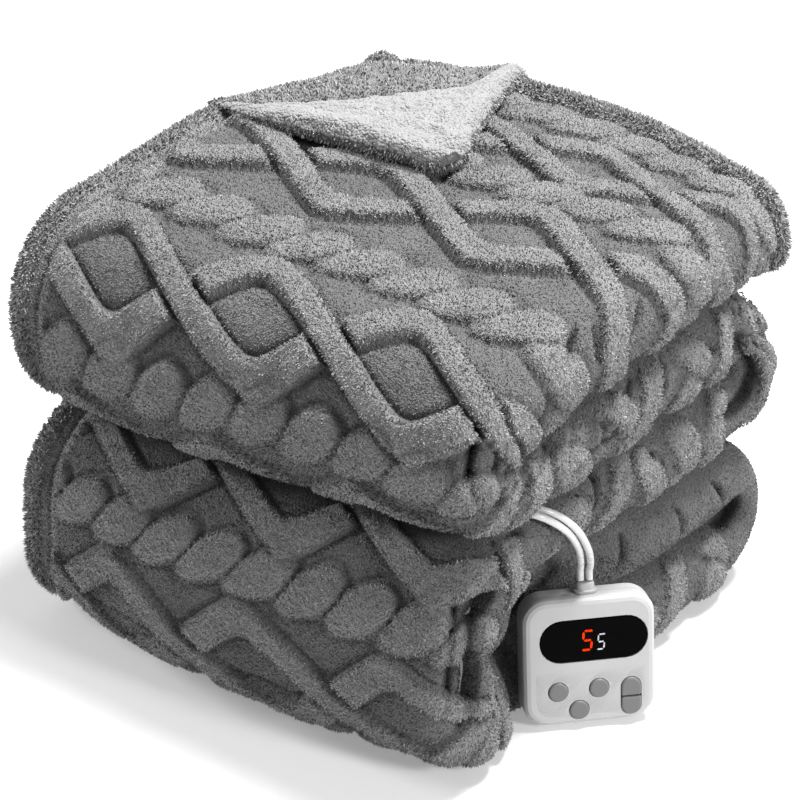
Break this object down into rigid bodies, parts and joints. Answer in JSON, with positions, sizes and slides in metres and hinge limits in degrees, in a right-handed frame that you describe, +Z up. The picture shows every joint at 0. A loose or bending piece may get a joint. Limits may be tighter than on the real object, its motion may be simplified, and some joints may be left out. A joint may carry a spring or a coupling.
{
  "type": "electric heated blanket",
  "caption": "Thick plush throw folded into a soft stack, one corner turned back, with a square hand control leaning on its side and two leads running into a fold.",
  "frame": {"origin": "on the floor under the middle of the bounding box of the stack and its hand control, leads left out", "axes": "+Z up; +X towards the strip's folded side, where the hand control stands; -Y towards the front folds"},
  "size_m": [0.3777, 0.3838, 0.2927],
  "materials": {
    "plush": "short plush pile with raised bands",
    "shell": "satin",
    "window": "glossy black",
    "button": "satin",
    "gland": "satin",
    "lead": "smooth"
  },
  "bodies": {
    "throw_and_control": {"blanket": "plush", "control_front": "shell", "control_back": "shell", "control_window": "window", "gland": "gland", "lead_a": "lead", "lead_b": "lead"},
    "button_left_body": {"button_left": "button"},
    "button_right_body": {"button_right": "button"},
    "button_low_body": {"button_low": "button"},
    "button_up_body": {"button_up": "button"},
    "button_down_body": {"button_down": "button"}
  },
  "joints": [
    {"name": "button_left_press", "type": "slide", "parent": "throw_and_control", "child": "button_left_body", "axis": [-0.7261, 0.663, -0.1822], "range_m": [0, 0.0008], "stiffness_N_per_m": 60},
    {"name": "button_right_press", "type": "slide", "parent": "throw_and_control", "child": "button_right_body", "axis": [-0.7261, 0.663, -0.1822], "range_m": [0, 0.0008], "stiffness_N_per_m": 60},
    {"name": "button_low_press", "type": "slide", "parent": "throw_and_control", "child": "button_low_body", "axis": [-0.7261, 0.663, -0.1822], "range_m": [0, 0.0008], "stiffness_N_per_m": 60},
    {"name": "button_up_press", "type": "slide", "parent": "throw_and_control", "child": "button_up_body", "axis": [-0.7261, 0.663, -0.1822], "range_m": [0, 0.0008], "stiffness_N_per_m": 60},
    {"name": "button_down_press", "type": "slide", "parent": "throw_and_control", "child": "button_down_body", "axis": [-0.7261, 0.663, -0.1822], "range_m": [0, 0.0008], "stiffness_N_per_m": 60}
  ]
}
